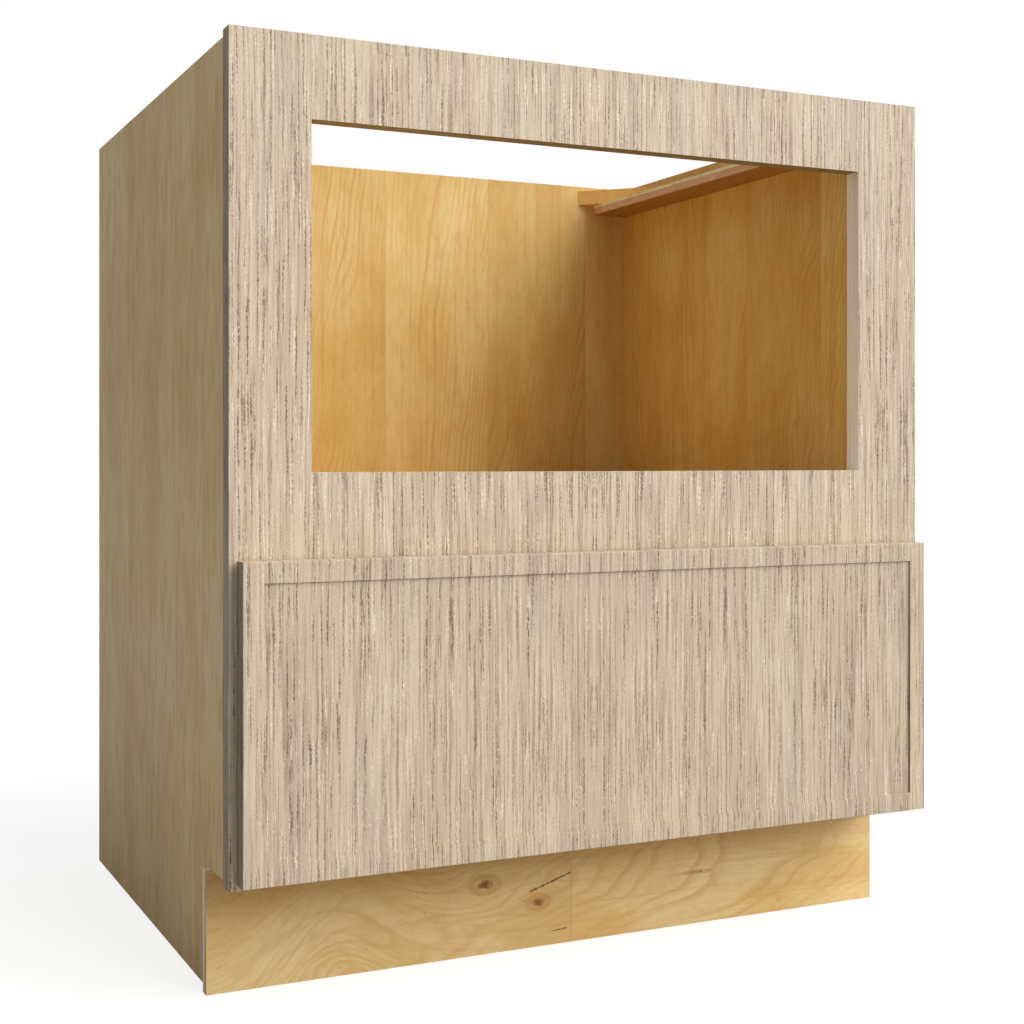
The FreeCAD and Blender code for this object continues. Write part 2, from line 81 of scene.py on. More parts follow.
ply_light = paint(222, 194, 148)
ply_dark = paint(156, 108, 82)
ply_glue = paint(98, 68, 46)
ply_pore_shade = paint(205, 196, 188)
bare_ply_light = paint(255, 246, 216)
bare_ply_red = paint(234, 190, 160)
maple_fleck = paint(128, 90, 52)
leaf_shade = paint(240, 233, 224)
left_leaf_shade = paint(248, 248, 246)
# Painted shade for the top of the toe board, under the frame above
painted_toe_shade_colour = paint(226, 216, 200)
knot_halo = paint(204, 142, 68)
knot_brown = paint(136, 80, 24)
crack_brown = paint(114, 64, 12)
end_grain = paint(184, 142, 92)
beech = paint(214, 176, 134)

zinc = paint(196, 200, 202)
zinc_shade = paint(168, 173, 177)
ball_steel = paint(206, 208, 210)
cage_white = paint(222, 222, 216)
lever_black = paint(44, 46, 48)
moulded_shade = paint(205, 205, 205)
bumper_clear = paint(206, 208, 204)

# Each wood by its ground, its growth rings and its light patches; bare plies by two tones
honey = (honey_maple, honey_grain, honey_light)
# The undersides of the top strips wear a darker copy of honey, a painted shade
strip_underside_painted_shade = (strip_painted_shade_maple, strip_painted_shade_grain, strip_painted_shade_patch)
brace_tones = (brace_maple, brace_grain, brace_light)
pale = (pale_maple, pale_grain, pale_light)
drawer_tones = (drawer_maple, drawer_grain, drawer_light)
dowel_tones = (beech, honey_grain, drawer_light)
bare_ply_tones = (bare_ply_light, bare_ply_red)


# Short calls for node trees

class Bench:
    """A node tree, with short calls that place a node and link what feeds it."""

    def __init__(self, tree):
        self.tree = tree

    def feed(self, socket, value):
        """Link an output to a socket, or set the socket to a plain value."""
        if isinstance(value, bpy.types.NodeSocket):
            self.tree.links.new(value, socket)
        else:
            socket.default_value = value

    def put(self, kind, inputs=None, **settings):
        """Place a node of a kind, with its settings and its inputs by name or number."""
        node = self.tree.nodes.new("ShaderNode" + kind)
        for name, value in settings.items():
            setattr(node, name, value)
        for name, value in (inputs or {}).items():
            self.feed(node.inputs[name], value)
        return node

    def use(self, effect, **inputs):
        """Place one of the shared effects. An underscore in an input's name is a space."""
        node = self.put("Group", node_tree=effect)
        for name, value in inputs.items():
            self.feed(node.inputs[name.replace("_", " ")], value)
        return node

    def place(self):
        """Where each point lies, from the cabinet's origin."""
        return self.put("TexCoord").outputs["Object"]

    def facing(self):
        """Which way the surface faces at each point."""
        return self.put("NewGeometry").outputs["Normal"]

    def maths(self, operation, *values):
        """One sum on numbers, such as MULTIPLY_ADD for the first times the second plus the third."""
        return self.put("Math", dict(enumerate(values)), operation=operation).outputs[0]

    def fade(self, value, start, end, low=0.0, high=1.0):
        """A smooth step from one level to another while the value goes from start to end."""
        limits = {
            "Value": value, "From Min": start, "From Max": end, "To Min": low, "To Max": high,
        }
        return self.put("MapRange", limits, interpolation_type="SMOOTHSTEP").outputs[0]

    def noise(self, place, detail=2.0, roughness=0.5, distortion=0.0):
        """Soft random levels about 0.5. The place comes stretched, so the scale stays at 1."""
        levels = {
            "Vector": place, "Scale": 1.0, "Detail": detail, "Roughness": roughness,
            "Distortion": distortion,
        }
        return self.put("TexNoise", levels).outputs["Fac"]

    def dice(self, number):
        """A random level from 0 to 1 for each whole number."""
        return self.put("TexWhiteNoise", {"W": number}, noise_dimensions="1D").outputs["Value"]

    def stretch(self, place, scales, shift=(0.0, 0.0, 0.0)):
        """The place with each direction scaled by itself, then shifted."""
        inputs = {0: place, 1: scales, 2: shift}
        return self.put("VectorMath", inputs, operation="MULTIPLY_ADD").outputs[0]

    def blend(self, share, first, second, how="MIX"):
        """The first colour, with a share of the second laid over it."""
        inputs = {0: share, 6: first, 7: second}
        return self.put("Mix", inputs, data_type="RGBA", blend_type=how).outputs[2]

    def split(self, place):
        """The three directions of a place, as numbers."""
        return self.put("SeparateXYZ", {0: place}).outputs

    def join(self, first, second, third):
        """A place from three numbers."""
        return self.put("CombineXYZ", {0: first, 1: second, 2: third}).outputs[0]


SOCKETS = {"number": "NodeSocketFloat", "place": "NodeSocketVector", "colour": "NodeSocketColor"}


def new_effect(name, inputs, outputs):
    """An empty effect with its named inputs and outputs, each a kind of socket by name."""
    tree = bpy.data.node_groups.new(name, "ShaderNodeTree")
    for label, kind in inputs.items():
        tree.interface.new_socket(label, in_out="INPUT", socket_type=SOCKETS[kind])
    for label, kind in outputs.items():
        tree.interface.new_socket(label, in_out="OUTPUT", socket_type=SOCKETS[kind])
    given = tree.nodes.new("NodeGroupInput").outputs
    result = tree.nodes.new("NodeGroupOutput").inputs
    return Bench(tree), given, result


# Shared effects

# Streaks of the print: how far they sway, quiver and fray sideways
streak_sway = 0.006
streak_quiver = 0.0017
streak_fray = 0.0024


def make_laminate_streaks():
    """The printed oak of the front, mirrored about a line as two matched sheets are."""
    bench, given, result = new_effect(
        "laminate_streaks",
        {"Place": "place", "Mirror": "number", "Seed": "number"},
        {"Colour": "colour", "Height": "number"},
    )
    x, y, z = bench.split(given["Place"])
    across = bench.maths("ABSOLUTE", bench.maths("SUBTRACT", x, given["Mirror"]))
    place = bench.join(across, y, z)
    seed = bench.join(given["Seed"], 0.0, given["Seed"])

    sway = bench.noise(bench.stretch(place, (9.0, 9.0, 3.0), seed), 1.0)
    quiver = bench.noise(bench.stretch(place, (60.0, 60.0, 34.0), seed), 2.0)
    fray = bench.noise(bench.stretch(place, (420.0, 1.0, 420.0), seed), 2.0, 0.7)
    across = bench.maths("MULTIPLY_ADD", sway, streak_sway, across)
    across = bench.maths("MULTIPLY_ADD", quiver, streak_quiver, across)
    across = bench.maths("MULTIPLY_ADD", fray, streak_fray, across)
    place = bench.join(across, 0.0, z)

    # The ground: broad bands, warm and cool zones, grit, and streaks that come and go
    broad = bench.noise(bench.stretch(place, (60.0, 1.0, 2.6), seed), 2.0)
    warm_zone = bench.noise(bench.stretch(place, (28.0, 1.0, 4.0), (17.0, 0.0, 5.0)), 2.0)
    cool_zone = bench.noise(bench.stretch(place, (34.0, 1.0, 3.0), (41.0, 0.0, 8.0)), 2.0)
    streak = bench.noise(bench.stretch(place, (330.0, 1.0, 5.5), seed), 3.0, 0.6)
    grit = bench.noise(bench.stretch(place, (900.0, 1.0, 700.0), seed), 2.0, 0.7)
    warm = bench.fade(warm_zone, 0.45, 0.66)
    cool = bench.fade(cool_zone, 0.5, 0.68)
    colour = bench.blend(bench.fade(broad, 0.36, 0.64), laminate_sand, laminate_cream)
    colour = bench.blend(bench.maths("MULTIPLY", warm, 0.6), colour, laminate_rose)
    colour = bench.blend(bench.maths("MULTIPLY", cool, 0.6), colour, laminate_grey)
    stir_zone = bench.noise(bench.stretch(place, (75.0, 1.0, 6.0), (23.0, 0.0, 3.0)), 2.0)
    stir = bench.fade(stir_zone, 0.38, 0.6, 0.3, 1.0)
    dark_streak = bench.maths("MULTIPLY", bench.fade(streak, 0.47, 0.64), stir)
    light_streak = bench.maths("MULTIPLY", bench.fade(streak, 0.5, 0.36), stir)
    colour = bench.blend(bench.maths("MULTIPLY", dark_streak, 0.95), colour, laminate_brown)
    colour = bench.blend(bench.maths("MULTIPLY", light_streak, 0.9), colour, laminate_cream)
    colour = bench.blend(bench.fade(grit, 0.5, 0.7, 0.0, 0.5), colour, laminate_brown)
    colour = bench.blend(bench.fade(grit, 0.48, 0.3, 0.0, 0.35), colour, laminate_cream)

    # Dark pores: long lines, broken into dashes and dots, and thicker in the warm zones
    lines = bench.noise(bench.stretch(place, (470.0, 1.0, 7.0), seed), 2.0, 0.5)
    dashes = bench.noise(bench.stretch(place, (300.0, 1.0, 45.0), (9.0, 1.0, 2.0)), 2.0)
    dots = bench.noise(bench.stretch(place, (800.0, 1.0, 330.0), (3.0, 1.0, 7.0)), 2.0)
    density = bench.maths("MULTIPLY_ADD", warm, 0.3, bench.fade(broad, 0.64, 0.4, 0.5, 0.95))
    density = bench.maths("MULTIPLY", density, bench.fade(dashes, 0.36, 0.56, 0.15, 1.0))
    pores = bench.fade(lines, 0.5, 0.62)
    pores = bench.maths("MULTIPLY", pores, bench.fade(dots, 0.36, 0.56, 0.25, 1.0))
    pores = bench.maths("MINIMUM", bench.maths("MULTIPLY", pores, density), 1.0)
    pore_colour = bench.blend(warm, laminate_pore, laminate_red_pore)
    colour = bench.blend(pores, colour, pore_colour)

    # Pale lines, where there is no pore
    glint_lines = bench.noise(bench.stretch(place, (540.0, 1.0, 16.0), (31.0, 2.0, 11.0)), 2.0, 0.6)
    glints = bench.fade(glint_lines, 0.56, 0.66)
    glints = bench.maths("MULTIPLY", glints, bench.fade(dots, 0.62, 0.42, 0.2, 1.0))
    glints = bench.maths("MULTIPLY", glints, bench.maths("SUBTRACT", 1.0, pores))
    colour = bench.blend(bench.maths("MULTIPLY", glints, 0.9), colour, laminate_white_line)

    height = bench.maths("SUBTRACT", bench.maths("MULTIPLY", streak, 0.3), pores)
    bench.feed(result["Colour"], colour)
    bench.feed(result["Height"], height)
    return bench.tree


def make_maple_veneer():
    """Sliced maple: leaves side by side, arched growth rings, cloudy patches, flecks and ticks."""
    bench, given, result = new_effect(
        "maple_veneer",
        {
            "Place": "place", "Seed": "number", "Leaf Width": "number", "Rings": "number",
            "Arch": "number", "Figure": "number", "Ticks": "number",
            "Ground": "colour", "Grain": "colour", "Light": "colour",
        },
        {"Colour": "colour", "Height": "number"},
    )
    place = given["Place"]
    across, _, along = bench.split(place)

    # Each leaf has a tone and a kind of its own, and its arches stand on a leaning line
    leaf_run = bench.maths("DIVIDE", bench.maths("ADD", across, given["Seed"]), given["Leaf Width"])
    leaf_tone = bench.dice(bench.maths("FLOOR", leaf_run))
    leaf_kind = bench.maths("FRACT", bench.maths("MULTIPLY", leaf_tone, 7.3))
    own_shift = bench.join(bench.maths("MULTIPLY", leaf_tone, 40.0), 0.0, given["Seed"])
    middle = bench.maths("SUBTRACT", bench.maths("FRACT", leaf_run), 0.8)
    middle = bench.maths("MULTIPLY_ADD", leaf_tone, 0.6, middle)
    slant = bench.maths("MULTIPLY", bench.maths("SUBTRACT", leaf_kind, 0.5), along)
    middle = bench.maths("MULTIPLY_ADD", slant, 3.0, middle)

    # Growth rings: arches about that line, that sway and wave, each with its own strength
    sway = bench.noise(bench.stretch(place, (5.0, 5.0, 1.3), own_shift), 3.0)
    sway = bench.maths("SUBTRACT", sway, 0.5)
    wave = bench.noise(bench.stretch(place, (13.0, 13.0, 11.0), own_shift), 2.0)
    wave = bench.maths("MULTIPLY", bench.maths("SUBTRACT", wave, 0.5), leaf_kind)
    middle = bench.maths("MULTIPLY_ADD", sway, 0.9, middle)
    middle = bench.maths("MULTIPLY_ADD", wave, 0.32, middle)
    arch = bench.maths("SQRT", bench.maths("MULTIPLY_ADD", middle, middle, 0.006))
    rings = bench.maths("MULTIPLY", bench.maths("MULTIPLY", arch, given["Leaf Width"]), given["Rings"])
    rings = bench.maths("SUBTRACT", rings, bench.maths("MULTIPLY", along, given["Arch"]))
    ring_run = bench.maths("FRACT", rings)
    ring_strength = bench.fade(bench.dice(bench.maths("FLOOR", rings)), 0.0, 1.0, 0.25, 1.0)
    ring_line = bench.fade(ring_run, 0.4, 0.84)
    ring_line = bench.maths("MULTIPLY", ring_line, bench.fade(ring_run, 1.0, 0.86))
    ring_line = bench.maths("MULTIPLY", ring_line, ring_strength)

    # Fibres, cloudy patches, small flecks and short ticks
    fibre = bench.noise(bench.stretch(place, (620.0, 620.0, 26.0), own_shift), 3.0, 0.65)
    streak = bench.noise(bench.stretch(place, (170.0, 170.0, 2.2), own_shift), 2.0)
    cloud = bench.noise(bench.stretch(place, (15.0, 15.0, 6.0), own_shift), 3.0, 0.5, 0.4)
    quiet = bench.noise(bench.stretch(place, (9.0, 9.0, 4.0), own_shift), 2.0)
    mottle = bench.noise(bench.stretch(place, (90.0, 90.0, 40.0), own_shift), 3.0, 0.6)
    flecks = bench.noise(bench.stretch(place, (420.0, 420.0, 150.0), own_shift), 1.0)
    ticks = bench.noise(bench.stretch(place, (95.0, 95.0, 20.0), own_shift), 2.0, 0.6)

    colour = bench.blend(bench.fade(cloud, 0.4, 0.68, 0.0, 0.8), given["Ground"], given["Light"])
    colour = bench.blend(bench.fade(cloud, 0.5, 0.3, 0.0, 0.3), colour, given["Grain"])
    colour = bench.blend(bench.fade(mottle, 0.48, 0.7, 0.0, 0.26), colour, given["Grain"])
    grain = bench.maths("MULTIPLY", ring_line, bench.fade(quiet, 0.38, 0.62, 0.1, 1.0))
    grain = bench.maths("MULTIPLY", grain, bench.fade(mottle, 0.66, 0.4, 0.55, 1.0))
    colour = bench.blend(bench.maths("MULTIPLY", grain, given["Figure"]), colour, given["Grain"])
    colour = bench.blend(bench.fade(streak, 0.5, 0.74, 0.0, 0.3), colour, given["Grain"])
    colour = bench.blend(bench.fade(fibre, 0.5, 0.72, 0.0, 0.3), colour, given["Grain"])
    ticks = bench.maths("MULTIPLY", bench.fade(ticks, 0.5, 0.68), given["Ticks"])
    colour = bench.blend(ticks, colour, given["Grain"])
    colour = bench.blend(bench.fade(flecks, 0.74, 0.82, 0.0, 0.45), colour, maple_fleck)

    # Some leaves are duller than others, and a faint seam runs between two leaves
    dim = bench.blend(1.0, colour, leaf_shade, "MULTIPLY")
    colour = bench.blend(bench.fade(leaf_tone, 0.2, 0.9, 0.0, 0.45), colour, dim)
    seam = bench.fade(bench.maths("PINGPONG", leaf_run, 0.5), 0.005, 0.001, 0.0, 0.4)
    colour = bench.blend(seam, colour, given["Grain"])

    bench.feed(result["Colour"], colour)
    bench.feed(result["Height"], bench.maths("MULTIPLY_ADD", ring_line, 0.3, fibre))
    return bench.tree


def make_ply_edge():
    """The cut edge of plywood: light and dark plies in turn, with thin glue lines between."""
    bench, given, result = new_effect(
        "ply_edge",
        {
            "Place": "place", "Depth": "number", "Plies": "number", "First Ply": "number",
            "Light": "colour", "Dark": "colour",
        },
        {"Colour": "colour", "Height": "number"},
    )
    place = given["Place"]
    sway = bench.noise(bench.stretch(place, (30.0, 30.0, 30.0)), 1.0)
    depth = bench.maths("MULTIPLY_ADD", bench.maths("SUBTRACT", sway, 0.5), 0.03, given["Depth"])
    ply_run = bench.maths("MULTIPLY_ADD", depth, given["Plies"], given["First Ply"])
    turn = bench.maths("MODULO", bench.maths("FLOOR", ply_run), 2.0)
    glue = bench.fade(bench.maths("PINGPONG", ply_run, 0.5), 0.07, 0.02)
    fibre = bench.noise(bench.stretch(place, (300.0, 900.0, 60.0)), 3.0, 0.7)
    patch = bench.noise(bench.stretch(place, (24.0, 24.0, 24.0)), 2.0)
    colour = bench.blend(turn, given["Light"], given["Dark"])
    deeper = bench.blend(1.0, colour, ply_pore_shade, "MULTIPLY")
    colour = bench.blend(bench.fade(fibre, 0.45, 0.7, 0.0, 0.8), colour, deeper)
    colour = bench.blend(bench.fade(patch, 0.5, 0.7, 0.0, 0.3), colour, given["Light"])
    colour = bench.blend(bench.maths("MULTIPLY", glue, 0.4), colour, ply_glue)
    bench.feed(result["Colour"], colour)
    bench.feed(result["Height"], bench.maths("SUBTRACT", fibre, glue))
    return bench.tree


def make_knot():
    """A small knot: a dark uneven eye in a brown ring, and the push that bends the grain round it."""
    bench, given, result = new_effect(
        "knot",
        {
            "Place": "place", "Across": "number", "Along": "number", "Radius": "number",
            "Length": "number",
        },
        {"Eye": "number", "Halo": "number", "Push": "number"},
    )
    across, _, along = bench.split(given["Place"])
    rough = bench.noise(bench.stretch(given["Place"], (260.0, 260.0, 110.0)), 3.0)
    side = bench.maths("DIVIDE", bench.maths("SUBTRACT", across, given["Across"]), given["Radius"])
    run = bench.maths("DIVIDE", bench.maths("SUBTRACT", along, given["Along"]), given["Length"])
    reach = bench.maths("MULTIPLY_ADD", side, side, bench.maths("MULTIPLY", run, run))
    uneven = bench.maths("MULTIPLY_ADD", bench.maths("SUBTRACT", rough, 0.5), 2.6, reach)
    eye = bench.maths("MULTIPLY", bench.fade(uneven, 1.1, 0.2), bench.fade(rough, 0.35, 0.6, 0.3, 1.0))
    bench.feed(result["Eye"], eye)
    ring = bench.maths("ABSOLUTE", bench.maths("SUBTRACT", bench.maths("SQRT", reach), 1.35))
    bench.feed(result["Halo"], bench.fade(ring, 0.7, 0.1))
    spread = bench.maths("MULTIPLY", reach, -0.12)
    bench.feed(result["Push"], bench.maths("MULTIPLY", bench.maths("EXPONENT", spread), side))
    return bench.tree


def make_hand_marks():
    """Soft patches that break up an even sheen, for the roughness."""
    bench, given, result = new_effect(
        "hand_marks",
        {"Place": "place", "Sheen": "number", "Spread": "number"},
        {"Roughness": "number"},
    )
    patch = bench.noise(bench.stretch(given["Place"], (11.0, 11.0, 11.0)), 4.0, 0.6)
    swing = bench.maths("MULTIPLY", bench.maths("SUBTRACT", patch, 0.5), given["Spread"])
    bench.feed(result["Roughness"], bench.maths("ADD", given["Sheen"], swing))
    return bench.tree


def make_plated_steel():
    """Zinc-plated steel: faint rolling lines, cloudy spots and fine scratches."""
    bench, given, result = new_effect(
        "plated_steel",
        {"Place": "place", "Bright": "colour", "Shade": "colour", "Roughness": "number"},
        {"Colour": "colour", "Roughness": "number", "Height": "number"},
    )
    rolling = bench.noise(bench.stretch(given["Place"], (1400.0, 9.0, 1400.0)), 2.0)
    cloud = bench.noise(bench.stretch(given["Place"], (60.0, 60.0, 60.0)), 3.0, 0.6)
    scratch = bench.noise(bench.stretch(given["Place"], (2600.0, 30.0, 900.0)), 1.0)
    colour = bench.blend(bench.fade(cloud, 0.35, 0.7), given["Bright"], given["Shade"])
    colour = bench.blend(bench.fade(rolling, 0.5, 0.8, 0.0, 0.4), colour, given["Shade"])
    rough = bench.maths("ADD", given["Roughness"], bench.maths("MULTIPLY", cloud, 0.14))
    rough = bench.maths("ADD", rough, bench.fade(scratch, 0.66, 0.8, 0.0, 0.12))
    bench.feed(result["Colour"], colour)
    bench.feed(result["Roughness"], rough)
    bench.feed(result["Height"], bench.maths("ADD", rolling, scratch))
    return bench.tree


def make_moulded_skin():
    """Moulded plastic or rubber: a fine pitted skin and faint flow marks."""
    bench, given, result = new_effect(
        "moulded_skin",
        {"Place": "place", "Tone": "colour"},
        {"Colour": "colour", "Roughness": "number", "Height": "number"},
    )
    pits = bench.noise(bench.stretch(given["Place"], (2400.0, 2400.0, 2400.0)), 2.0)
    flow = bench.noise(bench.stretch(given["Place"], (70.0, 70.0, 70.0)), 2.0)
    darker = bench.blend(1.0, given["Tone"], moulded_shade, "MULTIPLY")
    bench.feed(result["Colour"], bench.blend(bench.fade(flow, 0.35, 0.7), given["Tone"], darker))
    bench.feed(result["Roughness"], bench.fade(flow, 0.3, 0.7, 0.42, 0.58))
    bench.feed(result["Height"], pits)
    return bench.tree


laminate_streaks = make_laminate_streaks()
maple_veneer = make_maple_veneer()
ply_edge = make_ply_edge()
knot = make_knot()
hand_marks = make_hand_marks()
plated_steel = make_plated_steel()
moulded_skin = make_moulded_skin()


# Materials

# Maple: how strongly its surface mirrors the room, and how high and deep its grain stands
wood_gleam = 0.25
grain_bump = 0.2
grain_depth = 0.0002

# Plywood: how strongly short ticks of grain show on its outer veneer
outer_ticks = 0.6

# How far a face is turned to a direction when it counts as facing that way, out of 1
square_on = 0.75
well_turned = 0.7
half_turned = 0.5

# Front: past this distance from the middle an edge is on the outside of the cabinet, and the
# streaks on it are wider by this scale
outside_from = 0.34
outside_to = 0.36
edge_streak_scale = 0.4

# Toe board: its knots by height, distance out, radius and length, and its cracks by both
# their ends, each a distance out and a height. To the left of the middle a distance out is
# below zero
toe_knots = (
    (0.0693, -0.0977, 0.0062, 0.0112),
    (0.0451, -0.0384, 0.0052, 0.0090),
    (0.0545, 0.1517, 0.0014, 0.0110),
)
halo_share = 0.5
toe_cracks = (
    ((-0.0509, 0.0557), (-0.0005, 0.0713)),
    ((-0.0250, 0.0135), (-0.0040, 0.0150)),
)

# A crack: over what length it starts and stops, how far it wanders, how far from its line it
# ends and is at its darkest, and how strongly it shows
crack_run_in = 0.006
crack_run_out = 0.002
crack_wander = 0.0035
crack_rim = 0.0013
crack_core = 0.0003
crack_share = 0.95

# The seam between the two leaves, the same way
seam_rim = 0.001
seam_core = 0.0003
seam_share = 0.35

# The swirl in the grain of the left leaf: its middle, its reach and how far it lifts the rings
swirl_out = -0.26
swirl_reach = 0.075
swirl_lift = 0.06

# The heights between which the toe board is painted darker towards its top, a painted shade under the
# frame above
toe_painted_shade_from = 0.055
toe_painted_shade_to = 0.1


def new_material(name):
    """An empty material and the bench for its nodes."""
    material = bpy.data.materials.new(name)
    material.use_nodes = True
    material.node_tree.nodes.clear()
    return material, Bench(material.node_tree)


def finish_material(bench, colour, roughness, height, bump, depth, **constants):
    """Close a material with its shader. The constants are set on the shader's own sockets."""
    normal = bench.put("Bump", {"Strength": bump, "Distance": depth, "Height": height}).outputs[0]
    inputs = {"Base Color": colour, "Roughness": roughness, "Normal": normal}
    for name, value in constants.items():
        inputs[name.replace("_", " ")] = value
    shader = bench.put("BsdfPrincipled", inputs).outputs[0]
    bench.put("OutputMaterial", {"Surface": shader})


def finish_wood(bench, place, colour, height, sheen, spread):
    """Close a maple material, with hand marks in its sheen."""
    marks = bench.use(hand_marks, Place=place, Sheen=sheen, Spread=spread).outputs
    finish_material(
        bench, colour, marks["Roughness"], height, grain_bump, grain_depth,
        Specular_IOR_Level=wood_gleam,
    )


def grain_place(bench, place, along, through):
    """The place turned so that its third direction runs along the grain."""
    directions = bench.split(place)
    across = ({X, Y, Z} - {along, through}).pop()
    return bench.join(directions[across], directions[through], directions[along])


def faces_along(bench, facing, axis):
    """1 on the faces square to an axis, and 0 on the others."""
    turned = bench.maths("ABSOLUTE", bench.split(facing)[axis])
    return bench.maths("GREATER_THAN", turned, square_on)


def front_laminate(name, mirror, seed, tone, outer_shade, wrapped):
    """The printed front: its print goes darker round the outer edges, and the cut-out is pale.

    A wrapped front carries its print round its top and bottom edges and into its recess. On any other
    front, the edges that face down are painted dark brown, a painted shade.
    """
    material, bench = new_material(name)
    place = bench.place()
    facing = bench.facing()
    streaks = bench.use(laminate_streaks, Place=place, Mirror=mirror, Seed=seed).outputs
    front = bench.blend(1.0, streaks["Colour"], tone, "MULTIPLY")

    x, y, z = bench.split(place)
    distance_out = bench.maths("ABSOLUTE", x)
    outside = bench.fade(distance_out, outside_from, outside_to)
    outside = bench.maths("MULTIPLY", outside, faces_along(bench, facing, X))
    side_place = bench.stretch(bench.join(y, x, z), (edge_streak_scale, 1.0, 1.0))
    side_streaks = bench.use(
        laminate_streaks, Place=side_place, Mirror=0.0, Seed=seed
    ).outputs
    dark_print = bench.blend(1.0, side_streaks["Colour"], outer_shade, "MULTIPLY")
    band = bench.blend(outside, edge_band_light, dark_print)
    upward = bench.split(facing)[Z]
    if wrapped:
        is_level = bench.maths("GREATER_THAN", bench.maths("ABSOLUTE", upward), half_turned)
        band = bench.blend(is_level, band, front)
    else:
        # Painted shade: on the frame, edges that face down are painted dark brown
        is_underside = bench.maths("LESS_THAN", upward, -half_turned)
        band = bench.blend(is_underside, band, frame_underside_painted_shade)
    fine = bench.noise(bench.stretch(place, (500.0, 500.0, 5.0)), 3.0, 0.6)
    band = bench.blend(bench.fade(fine, 0.45, 0.7, 0.0, 0.15), band, laminate_pore)

    rearward = bench.split(facing)[Y]
    is_back = bench.maths("GREATER_THAN", rearward, well_turned)
    is_front = bench.maths("LESS_THAN", rearward, -half_turned)
    colour = bench.blend(is_back, band, backer_tan)
    colour = bench.blend(is_front, colour, front)
    marks = bench.use(hand_marks, Place=place, Sheen=0.5, Spread=0.12).outputs
    finish_material(
        bench, colour, marks["Roughness"], streaks["Height"], bump=0.25, depth=0.0003
    )
    return material


def ply_edges(bench, place, grain, node, through, plies, first_ply, tones):
    """The plies of a board, counted through its thickness from its low face."""
    low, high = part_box(node)
    depth = bench.maths("SUBTRACT", bench.split(place)[through], low[through])
    depth = bench.maths("DIVIDE", depth, high[through] - low[through])
    light, dark = tones
    return bench.use(
        ply_edge, Place=grain, Depth=depth, Plies=plies, First_Ply=first_ply,
        Light=light, Dark=dark,
    ).outputs


def plywood(
    node, along, through, outer, inner, seed,
    plies=7.0, first_ply=0.0, ply_tones=(ply_light, ply_dark),
):
    """A plywood board: veneer on its two faces, and plies on its edges."""
    material, bench = new_material(node + "_ply")
    place = bench.place()
    facing = bench.facing()
    low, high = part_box(node)
    grain = grain_place(bench, place, along, through)
    veneers = []
    for (ground, line, light), ticks in ((outer, outer_ticks), (inner, 0.0)):
        veneers.append(bench.use(
            maple_veneer, Place=grain, Seed=seed, Leaf_Width=0.15, Rings=140.0, Arch=4.0,
            Figure=0.6, Ticks=ticks, Ground=ground, Grain=line, Light=light,
        ).outputs)
    side = 1.0 if low[through] + high[through] > 0 else -1.0
    turned_out = bench.maths("MULTIPLY", bench.split(facing)[through], side)
    is_outer = bench.maths("GREATER_THAN", turned_out, 0.0)
    face_colour = bench.blend(is_outer, veneers[1]["Colour"], veneers[0]["Colour"])

    edge = ply_edges(bench, place, grain, node, through, plies, first_ply, ply_tones)
    colour = bench.blend(faces_along(bench, facing, through), edge["Colour"], face_colour)
    height = bench.maths("ADD", edge["Height"], veneers[0]["Height"])
    finish_wood(bench, place, colour, height, sheen=0.48, spread=0.14)
    return material


def solid_maple(name, along, through, tones, seed):
    """A solid board, with end grain on the faces square to the grain."""
    material, bench = new_material(name)
    place = bench.place()
    ground, line, light = tones
    grain = grain_place(bench, place, along, through)
    veneer = bench.use(
        maple_veneer, Place=grain, Seed=seed, Leaf_Width=0.3, Rings=120.0, Arch=3.0,
        Figure=0.6, Ground=ground, Grain=line, Light=light,
    ).outputs
    pores = bench.noise(bench.stretch(place, (900.0, 900.0, 900.0)), 3.0, 0.7)
    ends = bench.blend(bench.fade(pores, 0.4, 0.7), line, end_grain)
    is_end = faces_along(bench, bench.facing(), along)
    colour = bench.blend(is_end, veneer["Colour"], ends)
    height = bench.maths("ADD", veneer["Height"], bench.maths("MULTIPLY", pores, is_end))
    finish_wood(bench, place, colour, height, sheen=0.42, spread=0.12)
    return material


def toe_crack(bench, grain, start, end):
    """How much of a split in the toe board lies at each point, ragged and partly closed."""
    across, _, along = bench.split(grain)
    start_out, start_up = start
    end_out, end_up = end
    lean = (end_up - start_up) / (end_out - start_out)
    line_up = bench.maths("SUBTRACT", along, start_out)
    line_up = bench.maths("MULTIPLY_ADD", line_up, lean, start_up)
    ragged = bench.noise(bench.stretch(grain, (90.0, 90.0, 160.0)), 2.0)
    gap = bench.maths("ABSOLUTE", bench.maths("SUBTRACT", across, line_up))
    gap = bench.maths("MULTIPLY_ADD", bench.maths("SUBTRACT", ragged, 0.5), crack_wander, gap)
    broken = bench.noise(bench.stretch(grain, (200.0, 200.0, 520.0)), 2.0)
    inside = bench.fade(along, start_out, start_out + crack_run_in)
    inside = bench.maths("MULTIPLY", inside, bench.fade(along, end_out, end_out - crack_run_out))
    inside = bench.maths("MULTIPLY", inside, bench.fade(broken, 0.36, 0.54, 0.35, 1.0))
    return bench.maths("MULTIPLY", bench.fade(gap, crack_rim, crack_core), inside)


